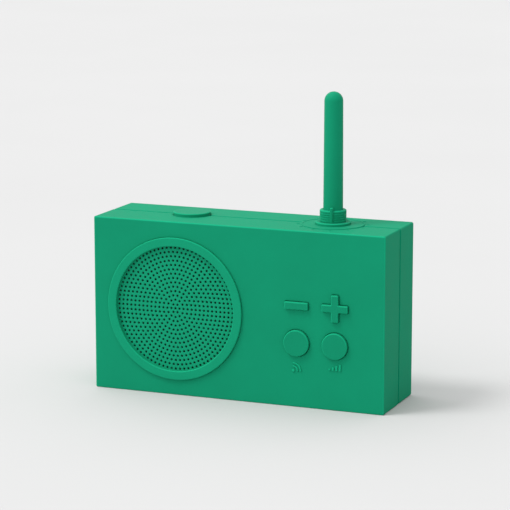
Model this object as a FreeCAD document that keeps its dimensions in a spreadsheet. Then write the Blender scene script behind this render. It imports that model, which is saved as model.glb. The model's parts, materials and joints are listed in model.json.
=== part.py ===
import FreeCAD, Part
import Sketcher
import math
import os
import re
from FreeCAD import Placement, Rotation, Vector

# Portable speaker-radio. Millimetres, +X to the right, +Y to the back, +Z up.
# The origin is the centre of the case's bottom face.

doc = FreeCAD.newDocument("speaker_radio")

# ---------------------------------------------------------------- driving dimensions
DIMENSIONS = {
    "case_width": 147.0,
    "case_depth": 42.0,
    "case_height": 84.0,
    "cover_wall": 2.0,
    "housing_wall": 1.5,
    "front_round": 0.7,
    "rear_round": 0.9,
    "seam_place": 1.0,
    "seam_gap": 1.0,
    "seam_chamfer": 0.6,
    "gasket_thickness": 1.2,
    "fit_gap": 0.05,
    "ring_side": 31.5,
    "ring_height": 42.0,
    "ring_radius": 34.5,
    "ring_bore": 30.23,
    "ring_raise": 1.15,
    "ring_edge": 0.5,
    "grille_sink": 0.9,
    "grille_thickness": 0.8,
    "grille_radius": 32.0,
    "hole_pitch": 2.1,
    "hole_radius": 0.58,
    "hole_rings": 14,
    "cloth_thickness": 0.3,
    "key_raise": 1.5,
    "key_gap": 0.2,
    "key_lip": 1.0,
    "key_travel": 0.6,
    "key_edge": 0.45,
    "upper_key_height": 48.6,
    "lower_key_height": 30.8,
    "left_key_side": 30.5,
    "right_key_side": 49.5,
    "minus_length": 11.6,
    "minus_width": 3.6,
    "plus_length": 12.8,
    "plus_width": 3.5,
    "round_key_radius": 6.3,
    "stem_radius": 1.7,
    "stem_gap": 0.05,
    "power_side": 31.75,
    "power_radius": 9.0,
    "power_raise": 1.6,
    "power_travel": 0.8,
    "aerial_side": 40.2,
    "flange_radius": 8.4,
    "flange_thickness": 1.5,
    "collar_radius": 6.3,
    "collar_top": 7.2,
    "pointer_angle": 13.0,
    "pointer_width": 1.5,
    "pointer_reach": 0.7,
    "pointer_rise": 1.6,
    "mast_foot_radius": 4.65,
    "mast_tip_radius": 4.4,
    "mast_top": 62.5,
    "shaft_radius": 3.0,
    "dial_radius": 15.0,
    "dial_thickness": 0.3,
    "boss_radius": 3.0,
    "tick_width": 0.8,
    "tick_length": 1.5,
    "tick_gap": 0.7,
    "tick_raise": 0.25,
    "mark_relief": 0.5,
    "mark_stroke": 0.7,
    "bar_width": 1.0,
    "bar_pitch": 1.7,
    "port_height": 55.8,
    "port_half_width": 13.0,
    "port_half_height": 6.0,
    "port_depth": 1.5,
    "port_gap": 0.25,
    "hinge_rise": 0.95,
    "board_depth": 12.0,
    "board_thickness": 1.6,
    "socket_height": 4.0,
    "power_board_top": 73.5,
    "tuner_board_top": 64.4,
    "charge_board_top": 53.6,
    "tray_board_thickness": 1.2,
    "case_screw_head": 2.2,
    "case_screw_shank": 1.1,
    "driver_screw_head": 1.9,
    "driver_screw_shank": 0.95,
    "board_screw_head": 1.9,
    "board_screw_shank": 0.85,
    "tray_screw_head": 1.6,
    "tray_screw_shank": 0.85,
    "pilot_play": 0.02,
    "lead_radius": 0.6,
    "lead_pitch": 1.8,
}

sizes = doc.addObject("Spreadsheet::Sheet", "Sizes")
for row, (alias, number) in enumerate(DIMENSIONS.items(), start=1):
    sizes.set(f"A{row}", str(number))
    sizes.setAlias(f"A{row}", alias)
doc.recompute()


def formula(words):
    """Turn an expression in plain alias words into one that reads the sheet."""
    return re.sub(r"[a-z_]+[a-z]", lambda word: "Sizes." + word.group() if word.group() in DIMENSIONS
                  else word.group(), str(words))


def number(words):
    return float(sizes.evalExpression(formula(words)))


# Levels along Y, from the front to the back, and along Z, as expressions in the sheet's words
FACE = "(-case_depth / 2)"
COVER_INNER = "(-case_depth / 2 + cover_wall)"
HOUSING_INNER = "(-case_depth / 2 + cover_wall + housing_wall)"
BACK = "(case_depth / 2)"
BACK_COVER_INNER = "(case_depth / 2 - cover_wall)"
BACK_HOUSING_INNER = "(case_depth / 2 - cover_wall - housing_wall)"
FRONT_SEAM = "(seam_place - seam_gap / 2)"
REAR_SEAM = "(seam_place + seam_gap / 2)"
FRONT_GASKET = "(seam_place - gasket_thickness / 2)"
REAR_GASKET = "(seam_place + gasket_thickness / 2)"
COVER_SIDE = "(case_width / 2 - cover_wall)"
HOUSING_SIDE = "(case_width / 2 - cover_wall - housing_wall)"
COVER_TOP = "(case_height - cover_wall)"
HOUSING_TOP = "(case_height - cover_wall - housing_wall)"
COVER_FLOOR = "cover_wall"
HOUSING_FLOOR = "(cover_wall + housing_wall)"
RING_FACE = "(-case_depth / 2 - ring_raise)"
GRILLE_FACE = "(-case_depth / 2 + grille_sink)"
KEY_FACE = "(-case_depth / 2 - key_raise)"
KEY_LIP_FACE = "(-case_depth / 2 + cover_wall + housing_wall + 0.1)"
KEY_BACK = "(-case_depth / 2 + cover_wall + housing_wall + 0.9)"
BOARD_FACE = "(-board_depth)"
BOARD_BACK = "(-board_depth + board_thickness)"
SOCKET_BACK = "(-board_depth + board_thickness + socket_height)"
DRIVER_FACE = f"({HOUSING_INNER} + 0.5)"

finished = []


# ---------------------------------------------------------------- primitives and booleans
def keep(piece, label):
    """Give a finished sub-part the label that names its file."""
    piece.Label = label
    finished.append(piece)
    return piece


def block(name, x_span, y_span, z_span):
    box = doc.addObject("Part::Box", name)
    for size, place, (low, high) in (("Length", "x", x_span), ("Width", "y", y_span),
                                     ("Height", "z", z_span)):
        box.setExpression(size, formula(f"({high}) - ({low})"))
        box.setExpression(f"Placement.Base.{place}", formula(low))
    return box


AXIS_TURNS = {
    "x": Rotation(Vector(0, 1, 0), 90),
    "y": Rotation(Vector(1, 0, 0), -90),
    "z": Rotation(),
}


def rod(name, axis, centre, span, radius, angle=360):
    """A cylinder along an axis: centre gives the two other coordinates in X, Y, Z order."""
    cylinder = doc.addObject("Part::Cylinder", name)
    cylinder.Placement = Placement(Vector(), AXIS_TURNS[axis])
    cylinder.setExpression("Radius", formula(radius))
    cylinder.setExpression("Height", formula(f"({span[1]}) - ({span[0]})"))
    cylinder.Angle = angle
    place = list(centre)
    place.insert("xyz".index(axis), span[0])
    for letter, words in zip("xyz", place):
        cylinder.setExpression(f"Placement.Base.{letter}", formula(words))
    return cylinder


def join(name, pieces):
    union = doc.addObject("Part::MultiFuse", name)
    union.Shapes = pieces
    return union


def group(name, pieces):
    compound = doc.addObject("Part::Compound", name)
    compound.Links = pieces
    return compound


def cut(name, base, tools):
    difference = doc.addObject("Part::Cut", name)
    difference.Base = base
    difference.Tool = tools[0] if len(tools) == 1 else join(f"{name}_tools", tools)
    return difference


def washer(name, axis, centre, span, outer, inner):
    return cut(name, rod(f"{name}_disc", axis, centre, span, outer),
               [rod(f"{name}_bore", axis, centre, span, inner)])


def screw(name, axis, centre, head_span, shank_span, head_radius, shank_radius):
    return join(name, [rod(f"{name}_head", axis, centre, head_span, head_radius),
                       rod(f"{name}_shank", axis, centre, shank_span, shank_radius)])


# ---------------------------------------------------------------- bodies with sketches
def new_body(name):
    return doc.addObject("PartDesign::Body", name)


def new_sketch(body, name, role, offset="0"):
    sketch = body.newObject("Sketcher::SketchObject", name)
    plane = next(feature for feature in body.Origin.OriginFeatures if feature.Role == role)
    sketch.AttachmentSupport = (plane, [""])
    sketch.MapMode = "FlatFace"
    sketch.setExpression("AttachmentOffset.Base.z", formula(offset))
    return sketch


def pin_point(sketch, element, point, place):
    """Bind a sketch point's two coordinates to expressions."""
    for kind, axis_line, words in (("DistanceX", -2, place[0]), ("DistanceY", -1, place[1])):
        value = number(words)
        if abs(value) < 1e-9:
            sketch.addConstraint(Sketcher.Constraint("PointOnObject", element, point, axis_line))
        elif value > 0:
            index = sketch.addConstraint(Sketcher.Constraint(kind, -1, 1, element, point, value))
            sketch.setExpression(f"Constraints[{index}]", formula(words))
        else:
            index = sketch.addConstraint(Sketcher.Constraint(kind, element, point, -1, 1, -value))
            sketch.setExpression(f"Constraints[{index}]", formula(f"-({words})"))


def draw_polygon(sketch, corners):
    points = [Vector(number(across), number(along), 0) for across, along in corners]
    first = sketch.GeometryCount
    for start, end in zip(points, points[1:] + points[:1]):
        sketch.addGeometry(Part.LineSegment(start, end))
    count = len(points)
    for index in range(count):
        following = first + (index + 1) % count
        sketch.addConstraint(Sketcher.Constraint("Coincident", first + index, 2, following, 1))
    for index, corner in enumerate(corners):
        pin_point(sketch, first + index, 1, corner)


def draw_rectangle(sketch, x_span, y_span):
    draw_polygon(sketch, [(x_span[0], y_span[0]), (x_span[1], y_span[0]),
                          (x_span[1], y_span[1]), (x_span[0], y_span[1])])


def draw_circle(sketch, centre, radius):
    middle = Vector(number(centre[0]), number(centre[1]), 0)
    index = sketch.addGeometry(Part.Circle(middle, Vector(0, 0, 1), number(radius)))
    pin_point(sketch, index, 3, centre)
    limit = sketch.addConstraint(Sketcher.Constraint("Radius", index, number(radius)))
    sketch.setExpression(f"Constraints[{limit}]", formula(radius))


def draw_plus(sketch, centre, length, width):
    half_length = f"({length}) / 2"
    half_width = f"({width}) / 2"
    steps = [(1, 0, 0, -1), (0, 1, 1, 0), (-1, 0, 0, 1), (0, -1, -1, 0)]
    corners = []
    for along_x, along_y, side_x, side_y in steps:
        for side in (1, -1):
            inward = f"{along_x} * {half_length} + {side * side_x} * {half_width}"
            upward = f"{along_y} * {half_length} + {side * side_y} * {half_width}"
            corners.append((f"{centre[0]} + {inward}", f"{centre[1]} + {upward}"))
        corners.append((f"{centre[0]} + {half_width} * {along_x - along_y}",
                        f"{centre[1]} + {half_width} * {along_x + along_y}"))
    draw_polygon(sketch, corners)


def pad(body, sketch, length, backwards=False):
    feature = body.newObject("PartDesign::Pad", f"{sketch.Name}_pad")
    feature.Profile = sketch
    feature.setExpression("Length", formula(length))
    feature.Reversed = backwards
    doc.recompute()
    return feature


def pocket(body, sketch, length, backwards=True):
    """Cut a sketch's outline away and check that the body got smaller."""
    before = body.Shape.Volume
    feature = body.newObject("PartDesign::Pocket", f"{sketch.Name}_pocket")
    feature.Profile = sketch
    feature.setExpression("Length", formula(length))
    feature.Reversed = backwards
    doc.recompute()
    assert body.Shape.Volume < before - 1e-3, f"{sketch.Name} cuts nothing"
    return feature


def revolve(body, sketch):
    feature = body.newObject("PartDesign::Revolution", f"{sketch.Name}_turned")
    feature.Profile = sketch
    feature.ReferenceAxis = (sketch, ["V_Axis"])
    feature.Angle = 360
    doc.recompute()
    return feature


def dress(body, kind, size, chosen):
    """Fillet or chamfer the edges of the body's tip that the test picks."""
    tip = body.Tip
    names = [f"Edge{index}" for index, edge in enumerate(tip.Shape.Edges, start=1) if chosen(edge)]
    assert names, f"{body.Name} has no such edge"
    feature = body.newObject(f"PartDesign::{kind}", f"{body.Name}_{kind.lower()}")
    feature.Base = (tip, names)
    feature.setExpression("Radius" if kind == "Fillet" else "Size", formula(size))
    doc.recompute()
    return feature


def turned(name, profile, origin=("0", "0", "0"), axis="z"):
    """A turned body from a profile of (radius, height) corners, set on an axis."""
    body = new_body(name)
    sketch = new_sketch(body, f"{name}_profile", "XZ_Plane")
    draw_polygon(sketch, profile)
    revolve(body, sketch)
    body.Placement = Placement(Vector(), AXIS_TURNS[axis])
    for letter, words in zip("xyz", origin):
        body.setExpression(f"Placement.Base.{letter}", formula(words))
    return body


def at_circle(height, radius):
    """An edge test: a full circle about the body's own axis at this height and radius."""
    def test(edge):
        curve = edge.Curve
        return (isinstance(curve, Part.Circle) and abs(curve.Radius - number(radius)) < 1e-4
                and abs(curve.Center.z - number(height)) < 1e-4)
    return test


# ---------------------------------------------------------------- shared openings
RING_CENTRE = ("-ring_side", "ring_height")
POWER_CENTRE = ("-power_side", "seam_place")
AERIAL_CENTRE = ("aerial_side", "seam_place")
MINUS_CENTRE = ("left_key_side", "upper_key_height")
PLUS_CENTRE = ("right_key_side", "upper_key_height")
PAIRING_CENTRE = ("left_key_side", "lower_key_height")
BAND_CENTRE = ("right_key_side", "lower_key_height")
KEY_CENTRES = {"minus": MINUS_CENTRE, "plus": PLUS_CENTRE, "pairing": PAIRING_CENTRE, "band": BAND_CENTRE}


def spread(centre, half):
    return (f"{centre} - ({half})", f"{centre} + ({half})")


def draw_key_outline(sketch, key, margin):
    """The outline of one of the four front keys, grown by a margin all round."""
    centre = KEY_CENTRES[key]
    if key == "minus":
        draw_rectangle(sketch, spread(centre[0], f"minus_length / 2 + {margin}"),
                       spread(centre[1], f"minus_width / 2 + {margin}"))
    elif key == "plus":
        draw_plus(sketch, centre, f"plus_length + 2 * {margin}", f"plus_width + 2 * {margin}")
    else:
        draw_circle(sketch, centre, f"round_key_radius + {margin}")


# ---------------------------------------------------------------- outer covers
def box_body(name, start, end, x_half, z_span):
    """A solid block from start to end along Y, padded towards the front."""
    body = new_body(name)
    sketch = new_sketch(body, f"{name}_outline", "XZ_Plane", f"-({end})")
    draw_rectangle(sketch, (f"-{x_half}", x_half), z_span)
    pad(body, sketch, f"({end}) - ({start})")
    return body


def off_plane(level):
    """An edge test: the edge isn't wholly in the plane of this Y level."""
    def test(edge):
        return any(abs(vertex.Y - number(level)) > 1e-4 for vertex in edge.Vertexes)
    return test


def on_plane(level):
    def test(edge):
        return all(abs(vertex.Y - number(level)) < 1e-4 for vertex in edge.Vertexes)
    return test


def make_marks():
    """Raised marks moulded on the front: a dot with two waves, and four rising bars."""
    relief = (f"{FACE} - mark_relief", f"{FACE} + 0.5")
    dot = ("left_key_side - 1.5", "lower_key_height - 13.2")
    upper_right = Rotation(Vector(0, 1, 0), -90).multiply(AXIS_TURNS["y"])
    pieces = [rod("pairing_dot", "y", dot, relief, "mark_stroke")]
    for index, inner in enumerate(("1.7", "3.2")):
        sector = rod(f"pairing_sector_{index}", "y", dot, relief, f"{inner} + mark_stroke", 90)
        sector.Placement.Rotation = upper_right
        bore = rod(f"pairing_bore_{index}", "y", dot, relief, inner)
        pieces.append(cut(f"pairing_wave_{index}", sector, [bore]))
    foot = "lower_key_height - 11.65"
    for index, tall in enumerate(("0.9", "1.6", "2.3", "3.1")):
        left = f"right_key_side - (3 * bar_pitch + bar_width) / 2 + {index} * bar_pitch"
        pieces.append(block(f"band_bar_{index}", (left, f"{left} + bar_width"), relief,
                            (foot, f"{foot} + {tall}")))
    return pieces


def make_front_cover():
    body = box_body("front_cover_shell", FACE, FRONT_SEAM, "(case_width / 2)", ("0", "case_height"))
    dress(body, "Fillet", "front_round", off_plane(FRONT_SEAM))
    dress(body, "Chamfer", "seam_chamfer", on_plane(FRONT_SEAM))
    hollow = new_sketch(body, "front_cover_hollow", "XZ_Plane", f"-({FRONT_SEAM})")
    draw_rectangle(hollow, (f"-{COVER_SIDE}", COVER_SIDE), (COVER_FLOOR, COVER_TOP))
    pocket(body, hollow, f"{FRONT_SEAM} - {COVER_INNER}")
    openings = new_sketch(body, "front_cover_openings", "XZ_Plane", f"-{COVER_INNER}")
    draw_circle(openings, RING_CENTRE, "ring_radius + fit_gap")
    for key in KEY_CENTRES:
        draw_key_outline(openings, key, "key_gap")
    pocket(body, openings, "cover_wall + 1")
    drilled = cut("front_cover_drilled", body, top_holes("front_cover", COVER_TOP, "case_height"))
    keep(join("front_cover", [drilled] + make_marks()), "front_cover")


def top_holes(owner, low, high):
    """Cutters for the power button and the aerial's threaded tube through the top walls."""
    span = (f"{low} - 1", f"{high} + 1")
    button = "power_radius + key_gap" if "cover" in owner else "3.25"
    return [rod(f"{owner}_power_hole", "z", POWER_CENTRE, span, button),
            rod(f"{owner}_aerial_hole", "z", AERIAL_CENTRE, span, "5.05")]


HINGE_HEIGHT = "(port_height - port_half_height + hinge_rise)"
HINGE_DEPTH = "(case_depth / 2 - 0.7)"


def make_rear_cover():
    body = box_body("rear_cover_shell", REAR_SEAM, BACK, "(case_width / 2)", ("0", "case_height"))
    dress(body, "Fillet", "rear_round", off_plane(REAR_SEAM))
    dress(body, "Chamfer", "seam_chamfer", on_plane(REAR_SEAM))
    hollow = new_sketch(body, "rear_cover_hollow", "XZ_Plane", f"-({REAR_SEAM})")
    draw_rectangle(hollow, (f"-{COVER_SIDE}", COVER_SIDE), (COVER_FLOOR, COVER_TOP))
    pocket(body, hollow, f"{BACK_COVER_INNER} - {REAR_SEAM}", backwards=False)
    recess = block("port_recess", spread("aerial_side", "port_half_width"),
                   (f"{BACK} - port_depth", f"{BACK} + 1"), spread("port_height", "port_half_height"))
    nail_notch = rod("nail_notch", "y", ("aerial_side", "port_height + port_half_height - 1.5"),
                     (f"{BACK} - 1.0", f"{BACK} + 1"), "4.0")
    mouth = block("port_mouth", spread("aerial_side", "4.8"), (f"{BACK_COVER_INNER} - 1", BACK),
                  spread("port_height", "1.9"))
    pin_hole = rod("pin_hole", "x", (HINGE_DEPTH, HINGE_HEIGHT),
                   spread("aerial_side", "port_half_width + 0.85"),
                   "0.38")
    tools = [recess, nail_notch, mouth, pin_hole] + top_holes("rear_cover", COVER_TOP, "case_height")
    keep(cut("rear_cover", body, tools), "rear_cover")


# ---------------------------------------------------------------- inner housings
CASE_SCREWS = [("-66", "7.5"), ("0", "7.5"), ("66", "7.5"), ("-66", "76.5"), ("0", "76.5"), ("66", "76.5")]
DRIVER_SCREWS = [(f"-ring_side + {across}", f"ring_height + {up}") for across in (-26, 26) for up in (-26,
                                                                                                      26)]
BOARD_SCREWS = [(across, up) for across in ("10", "64") for up in ("18", "68")]
POWER_TRAY_SCREWS = [("-39", "6"), ("-24.5", "6")]
TUNER_TRAY_SCREWS = [("31.6", "14.5"), ("48.8", "14.5")]
CHARGE_TRAY_SCREWS = [("31", "10"), ("49.4", "10")]


def make_front_housing():
    shell = block("front_housing_block", (f"-{COVER_SIDE}", COVER_SIDE), (COVER_INNER, FRONT_GASKET),
                  (COVER_FLOOR, COVER_TOP))
    hollow = block("front_housing_hollow", (f"-{HOUSING_SIDE}", HOUSING_SIDE),
                   (HOUSING_INNER, f"{FRONT_GASKET} + 1"), (HOUSING_FLOOR, HOUSING_TOP))
    solid = [cut("front_housing_shell", shell, [hollow])]
    for index, centre in enumerate(CASE_SCREWS):
        solid.append(rod(f"front_boss_{index}", "y", centre, (f"{HOUSING_INNER} - 0.5", "seam_place"),
                         "boss_radius"))
    for index, centre in enumerate(DRIVER_SCREWS):
        solid.append(rod(f"driver_pad_{index}", "y", centre, (f"{HOUSING_INNER} - 0.5", DRIVER_FACE), "2.6"))
    for index, centre in enumerate(BOARD_SCREWS):
        solid.append(rod(f"board_post_{index}", "y", centre, (f"{HOUSING_INNER} - 0.5", BOARD_FACE), "2.6"))
    holes = top_holes("front_housing", HOUSING_TOP, COVER_TOP)
    holes.append(rod("driver_opening", "y", RING_CENTRE, (f"{COVER_INNER} - 1", f"{HOUSING_INNER} + 1"),
                     "29.5"))
    for index, centre in enumerate(CASE_SCREWS):
        holes.append(rod(f"front_pilot_{index}", "y", centre, ("-11", "seam_place + 1"),
                         "case_screw_shank + pilot_play"))
    for index, centre in enumerate(DRIVER_SCREWS):
        holes.append(rod(f"driver_pilot_{index}", "y", centre, ("-18.7", "-16"),
                         "driver_screw_shank + pilot_play"))
    for index, centre in enumerate(BOARD_SCREWS):
        holes.append(rod(f"board_pilot_{index}", "y", centre, ("-17.6", "-11"),
                         "board_screw_shank + pilot_play"))
    key_cutter = new_body("key_hole_cutter")
    outline = new_sketch(key_cutter, "key_hole_outline", "XZ_Plane", f"-({HOUSING_INNER} + 1)")
    for key in KEY_CENTRES:
        draw_key_outline(outline, key, "key_gap")
    pad(key_cutter, outline, "housing_wall + 2")
    holes.append(key_cutter)
    keep(cut("front_housing", join("front_housing_solid", solid), holes), "front_housing")


# Pairs of ribs under each small board: left span, right span, depth span and height span
RIBS = {
    "charge": (("30", "32"), ("48.4", "50.4"), ("6", "17.6"),
               ("46.5", "charge_board_top - tray_board_thickness")),
    "tuner": (("30.6", "32.6"), ("47.8", "49.8"), ("9", "17.6"),
              ("59.4", "tuner_board_top - tray_board_thickness")),
    "power": (("-40", "-38"), ("-25.5", "-23.5"), ("4", "17.6"),
              ("68.8", "power_board_top - tray_board_thickness")),
}


def make_rear_housing():
    shell = block("rear_housing_block", (f"-{COVER_SIDE}", COVER_SIDE), (REAR_GASKET, BACK_COVER_INNER),
                  (COVER_FLOOR, COVER_TOP))
    hollow = block("rear_housing_hollow", (f"-{HOUSING_SIDE}", HOUSING_SIDE),
                   (f"{REAR_GASKET} - 1", BACK_HOUSING_INNER), (HOUSING_FLOOR, HOUSING_TOP))
    solid = [cut("rear_housing_shell", shell, [hollow])]
    for index, centre in enumerate(CASE_SCREWS):
        solid.append(rod(f"rear_boss_{index}", "y", centre, ("seam_place", f"{BACK_HOUSING_INNER} + 0.5"),
                         "boss_radius"))
    for name, (left, right, depth, height) in RIBS.items():
        for side, span in (("left", left), ("right", right)):
            solid.append(block(f"{name}_rib_{side}", span, depth, height))
    holes = top_holes("rear_housing", HOUSING_TOP, COVER_TOP)
    for index, centre in enumerate(CASE_SCREWS):
        holes.append(rod(f"rear_clearance_{index}", "y", centre, ("0", "20"), "case_screw_shank + 0.2"))
        holes.append(rod(f"rear_counterbore_{index}", "y", centre, ("16", "20"), "case_screw_head + 0.2"))
    holes.append(block("socket_hole", spread("aerial_side", "4.8"), ("17", "20"),
                       spread("port_height", "1.9")))
    keep(cut("rear_housing", join("rear_housing_solid", solid), holes), "rear_housing")


def make_case_gasket():
    frame = block("gasket_block", (f"-{COVER_SIDE}", COVER_SIDE), (FRONT_GASKET, REAR_GASKET),
                  (COVER_FLOOR, COVER_TOP))
    window = block("gasket_window", (f"-{HOUSING_SIDE}", HOUSING_SIDE),
                   (f"{FRONT_GASKET} - 1", f"{REAR_GASKET} + 1"), (HOUSING_FLOOR, HOUSING_TOP))
    keep(cut("case_gasket", frame, [window] + top_holes("case_gasket", HOUSING_TOP, COVER_TOP)),
         "case_gasket")


def make_case_screws():
    screws = [screw(f"case_screw_{index}", "y", centre, ("16", "17.6"), ("-10", "16"),
                    "case_screw_head", "case_screw_shank")
              for index, centre in enumerate(CASE_SCREWS)]
    keep(group("case_screws", screws), "case_screws")


# ---------------------------------------------------------------- speaker front
def make_grille_ring():
    front = "0"
    seat = "(ring_raise + grille_sink)"
    back = "(ring_raise + cover_wall)"
    body = turned("grille_ring", [("ring_bore", front), ("ring_radius", front), ("ring_radius", back),
                                  ("grille_radius + 0.1", back), ("grille_radius + 0.1", seat),
                                  ("ring_bore", seat)],
                  ("-ring_side", RING_FACE, "ring_height"), "y")
    dress(body, "Fillet", "ring_edge", lambda edge: at_circle(front, "ring_radius")(edge)
          or at_circle(front, "ring_bore")(edge))
    keep(body, "grille_ring")


def make_speaker_grille():
    """A flat disc with a centre hole and rings of six more holes each: one extruded face."""
    centre = Vector(number("-ring_side"), number(GRILLE_FACE), number("ring_height"))
    forward = Vector(0, 1, 0)
    wires = [Part.Wire(Part.makeCircle(number("grille_radius"), centre, forward))]
    for ring in range(int(number("hole_rings")) + 1):
        for step in range(max(1, 6 * ring)):
            angle = math.radians(60.0 * step / max(1, ring))
            reach = ring * number("hole_pitch")
            middle = centre + Vector(reach * math.cos(angle), 0, reach * math.sin(angle))
            wires.append(Part.Wire(Part.makeCircle(number("hole_radius"), middle, forward)))
    grille = doc.addObject("Part::Feature", "speaker_grille")
    face = Part.Face(wires, "Part::FaceMakerBullseye")
    grille.Shape = face.extrude(Vector(0, number("grille_thickness"), 0))
    keep(grille, "speaker_grille")


def make_grille_cloth():
    start = f"{GRILLE_FACE} + grille_thickness"
    keep(rod("grille_cloth", "y", RING_CENTRE, (start, f"{start} + cloth_thickness"), "grille_radius"),
         "grille_cloth")


# ---------------------------------------------------------------- loudspeaker
DRIVER_ORIGIN = ("-ring_side", DRIVER_FACE, "ring_height")


def driver_part(name, profile):
    keep(turned(name, profile, DRIVER_ORIGIN, "y"), name)


def make_driver():
    keep(washer("driver_gasket", "y", RING_CENTRE, (HOUSING_INNER, DRIVER_FACE), "31.5", "29.5"),
         "driver_gasket")
    skirt = turned("basket_skirt", [("27.6", "0"), ("30", "0"), ("30", "0.8"), ("28.5", "0.8"),
                                    ("18.8", "12.2"),
                                    ("18.8", "13"), ("13", "13"), ("13", "12.2"), ("17.9", "12.2"),
                                    ("27.6", "0.8")],
                   DRIVER_ORIGIN, "y")
    plate = block("basket_plate", spread("-ring_side", 31), (DRIVER_FACE, f"{DRIVER_FACE} + 0.8"),
                  spread("ring_height", 31))
    holes = [rod("basket_opening", "y", RING_CENTRE, (f"{DRIVER_FACE} - 1", f"{DRIVER_FACE} + 2"), "28.5")]
    for index, centre in enumerate(DRIVER_SCREWS):
        holes.append(rod(f"basket_screw_hole_{index}", "y", centre,
                         (f"{DRIVER_FACE} - 1", f"{DRIVER_FACE} + 2"),
                         "driver_screw_shank + 0.2"))
    windows = [block("window_across", spread("-ring_side", 40),
                     (f"{DRIVER_FACE} + 3.5", f"{DRIVER_FACE} + 9.5"),
                     spread("ring_height", 7)),
               block("window_upright", spread("-ring_side", 7),
                     (f"{DRIVER_FACE} + 3.5", f"{DRIVER_FACE} + 9.5"),
                     spread("ring_height", 40))]
    open_skirt = cut("basket_open_skirt", skirt, windows)
    terminals = block("speaker_terminals", ("-7.2", "-1.2"), ("-16.4", "-14.7"), ("20.6", "25.6"))
    keep(join("driver_basket", [open_skirt, cut("basket_drilled_plate", plate, holes), terminals]),
         "driver_basket")
    screws = [screw(f"driver_screw_{index}", "y", centre, ("-16.2", "-14.8"), ("-18.6", "-16.2"),
                    "driver_screw_head", "driver_screw_shank") for index, centre in enumerate(DRIVER_SCREWS)]
    keep(group("driver_screws", screws), "driver_screws")
    driver_part("driver_top_plate", [("6.6", "13"), ("15.5", "13"), ("15.5", "16"), ("6.6", "16")])
    driver_part("driver_magnet", [("9", "16"), ("17", "16"), ("17", "22"), ("9", "22")])
    driver_part("driver_yoke", [("0", "13"), ("5.4", "13"), ("5.4", "22"), ("15.5", "22"), ("15.5", "25"),
                                ("0", "25")])
    driver_part("voice_coil", [("5.75", "8.4"), ("6.25", "8.4"), ("6.25", "17"), ("5.75", "17")])
    driver_part("driver_cone", [("22.2", "2.5"), ("22.7", "2.5"), ("22.7", "3.0"), ("6.75", "10"),
                                ("6.75", "11.4"),
                                ("6.25", "11.4"), ("6.25", "9.4")])
    driver_part("driver_surround", [("22.7", "2.5"), ("23.8", "1.0"), ("25.1", "0.3"), ("26.4", "0.2"),
                                    ("27.6", "0.2"),
                                    ("27.6", "0.7"), ("26.5", "0.7"), ("25.3", "0.8"), ("24.2", "1.4"),
                                    ("22.7", "3.0")])
    driver_part("driver_spider", [("6.75", "11.5"), ("17.5", "11.5"), ("17.5", "12.2"), ("6.75", "12.2")])
    driver_part("dust_cap", [("0", "4.6"), ("5.5", "5.8"), ("8.6", "7.85"), ("8.45", "8.4"), ("5.3", "6.4"),
                             ("0", "5.2")])


# ---------------------------------------------------------------- keys and their switches
def make_key(key, label):
    body = new_body(label)
    cap = new_sketch(body, f"{key}_cap", "XZ_Plane", f"-{KEY_LIP_FACE}")
    draw_key_outline(cap, key, "0")
    pad(body, cap, f"{KEY_LIP_FACE} - {KEY_FACE}")
    dress(body, "Fillet", "key_edge", on_plane(KEY_FACE))
    lip = new_sketch(body, f"{key}_lip", "XZ_Plane", f"-{KEY_BACK}")
    draw_key_outline(lip, key, "key_lip")
    pad(body, lip, f"{KEY_BACK} - {KEY_LIP_FACE}")
    keep(body, label)
    stem = rod(f"{key}_switch_stem", "y", KEY_CENTRES[key], (KEY_BACK, f"{KEY_BACK} + 3"), "stem_radius")
    keep(stem, f"{key}_switch_stem")


def make_switch(name, axis, centre, span, bore_span):
    side = 3.0
    spans = [spread(words, side) for words in centre]
    spans.insert("xyz".index(axis), span)
    case = block(f"{name}_case", *spans)
    return cut(name, case, [rod(f"{name}_bore", axis, centre, bore_span, "stem_radius + stem_gap")])


def make_key_switches():
    switches = [make_switch(f"{key}_switch", "y", centre, ("-15.5", BOARD_FACE), ("-16.5", "-12.6"))
                for key, centre in KEY_CENTRES.items()]
    keep(group("key_switches", switches), "key_switches")


def tray_span(top):
    """The height span of one of the small boards on the rear housing's ribs."""
    return (f"{top} - tray_board_thickness", top)


def make_power_button():
    top = "(power_raise + 1)"
    body = turned("power_button", [("0", "0"), ("4.2", "0"), ("4.2", "1"), ("3", "1"), ("3", "3.7"),
                                   ("power_radius", "3.7"), ("power_radius", f"3.7 + {top}"),
                                   ("0", f"3.7 + {top}")],
                  ("-power_side", "seam_place", "case_height - 4.7"))
    dress(body, "Fillet", "key_edge", at_circle(f"3.7 + {top}", "power_radius"))
    keep(body, "power_button")
    keep(rod("power_switch_stem", "z", POWER_CENTRE, ("case_height - 8.6", "case_height - 4.7"),
             "stem_radius"),
         "power_switch_stem")
    board = block("power_board_blank", ("-41", "-22.5"), ("-5", "9"), tray_span("power_board_top"))
    holes = [rod(f"power_board_hole_{index}", "z", centre, ("72", "74"), "tray_screw_shank + 0.05")
             for index, centre in enumerate(POWER_TRAY_SCREWS)]
    keep(cut("power_board", board, holes), "power_board")
    keep(make_switch("power_switch", "z", POWER_CENTRE, ("power_board_top", "77"), ("74.3", "78")),
         "power_switch")


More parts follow.
